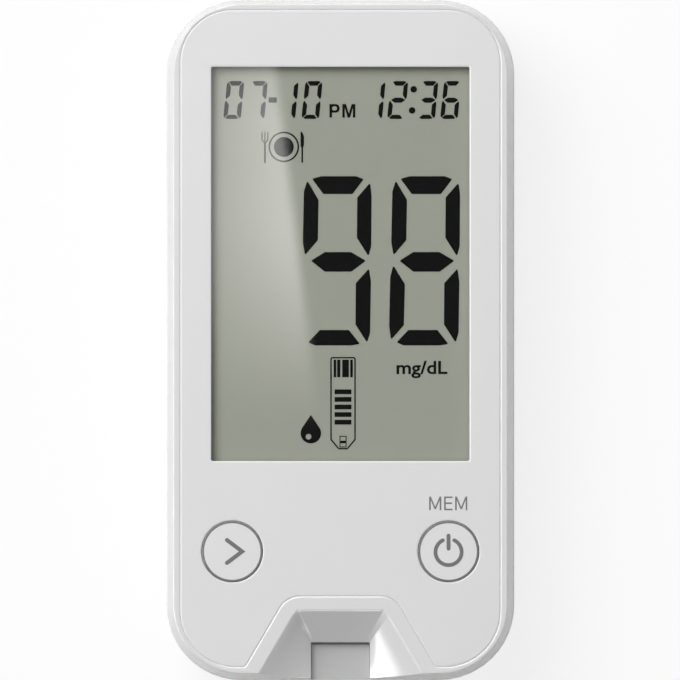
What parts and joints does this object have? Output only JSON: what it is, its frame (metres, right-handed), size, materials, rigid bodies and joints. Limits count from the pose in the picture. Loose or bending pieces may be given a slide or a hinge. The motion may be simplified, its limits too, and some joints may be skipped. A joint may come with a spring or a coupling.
{
  "type": "blood glucose meter",
  "caption": "Flat pocket meter with a large segment display, two round keys, a scooped test strip port at one end and a sliding battery door at the back.",
  "frame": {"origin": "middle of the back face, on the surface that the meter lies on", "axes": "+Z out of the display, +Y along the case away from the strip port, +X to the right as the display is read"},
  "size_m": [0.0496, 0.097, 0.0185],
  "materials": {
    "shell": "light grey moulded ABS, semi-gloss",
    "panel": "light grey front panel, fine matte",
    "key": "light grey keys, fine matte",
    "lens": "clear polished acrylic",
    "lcd_glass": "liquid crystal cell glass with polariser",
    "reflector": "greenish grey reflector film",
    "foam": "black foam gasket",
    "silicone": "layered conductive silicone",
    "white_plastic": "natural moulded plastic",
    "guide": "mid grey moulded plastic",
    "spring_steel": "bright spring steel",
    "circuit_board": "green solder mask on glass fibre board",
    "chip": "black epoxy package",
    "component": "ceramic and metal components",
    "sounder": "brass sounder can",
    "gold_plate": "gold plated contact springs",
    "cell_jacket": "printed metal jacket, plain",
    "nickel": "nickel plated spring steel",
    "zinc": "zinc plated steel"
  },
  "bodies": {
    "case": {"front_cover": "shell", "rear_cover": "shell", "front_panel": "panel", "display_window": "lens", "display_gasket": "foam", "lcd_front_glass": "lcd_glass", "lcd_rear_glass": "lcd_glass", "lcd_reflector": "reflector", "lcd_holder": "white_plastic", "zebra_strip": "silicone", "dome_next": "spring_steel", "dome_power": "spring_steel", "main_board": "circuit_board", "processor_chip": "chip", "memory_chip": "chip", "board_components": "component", "buzzer": "sounder", "strip_connector": "white_plastic", "strip_contacts": "gold_plate", "strip_guide": "guide", "battery_left": "cell_jacket", "battery_right": "cell_jacket", "battery_link": "nickel", "battery_positive": "nickel", "battery_negative": "nickel", "case_screws": "zinc", "board_screws": "zinc"},
    "key_next": {"key_next": "key"},
    "key_power": {"key_power": "key"},
    "battery_door": {"battery_door": "shell"}
  },
  "joints": [
    {"name": "key_next_press", "type": "slide", "parent": "case", "child": "key_next", "axis": [0, 0, -1], "range_m": [0, 0.00035], "stiffness_N_per_m": 4000, "deforming": ["dome_next"]},
    {"name": "key_power_press", "type": "slide", "parent": "case", "child": "key_power", "axis": [0, 0, -1], "range_m": [0, 0.00035], "stiffness_N_per_m": 4000, "deforming": ["dome_power"]},
    {"name": "battery_door_slide", "type": "slide", "parent": "case", "child": "battery_door", "axis": [0, 1, 0], "range_m": [0, 0.05]}
  ]
}
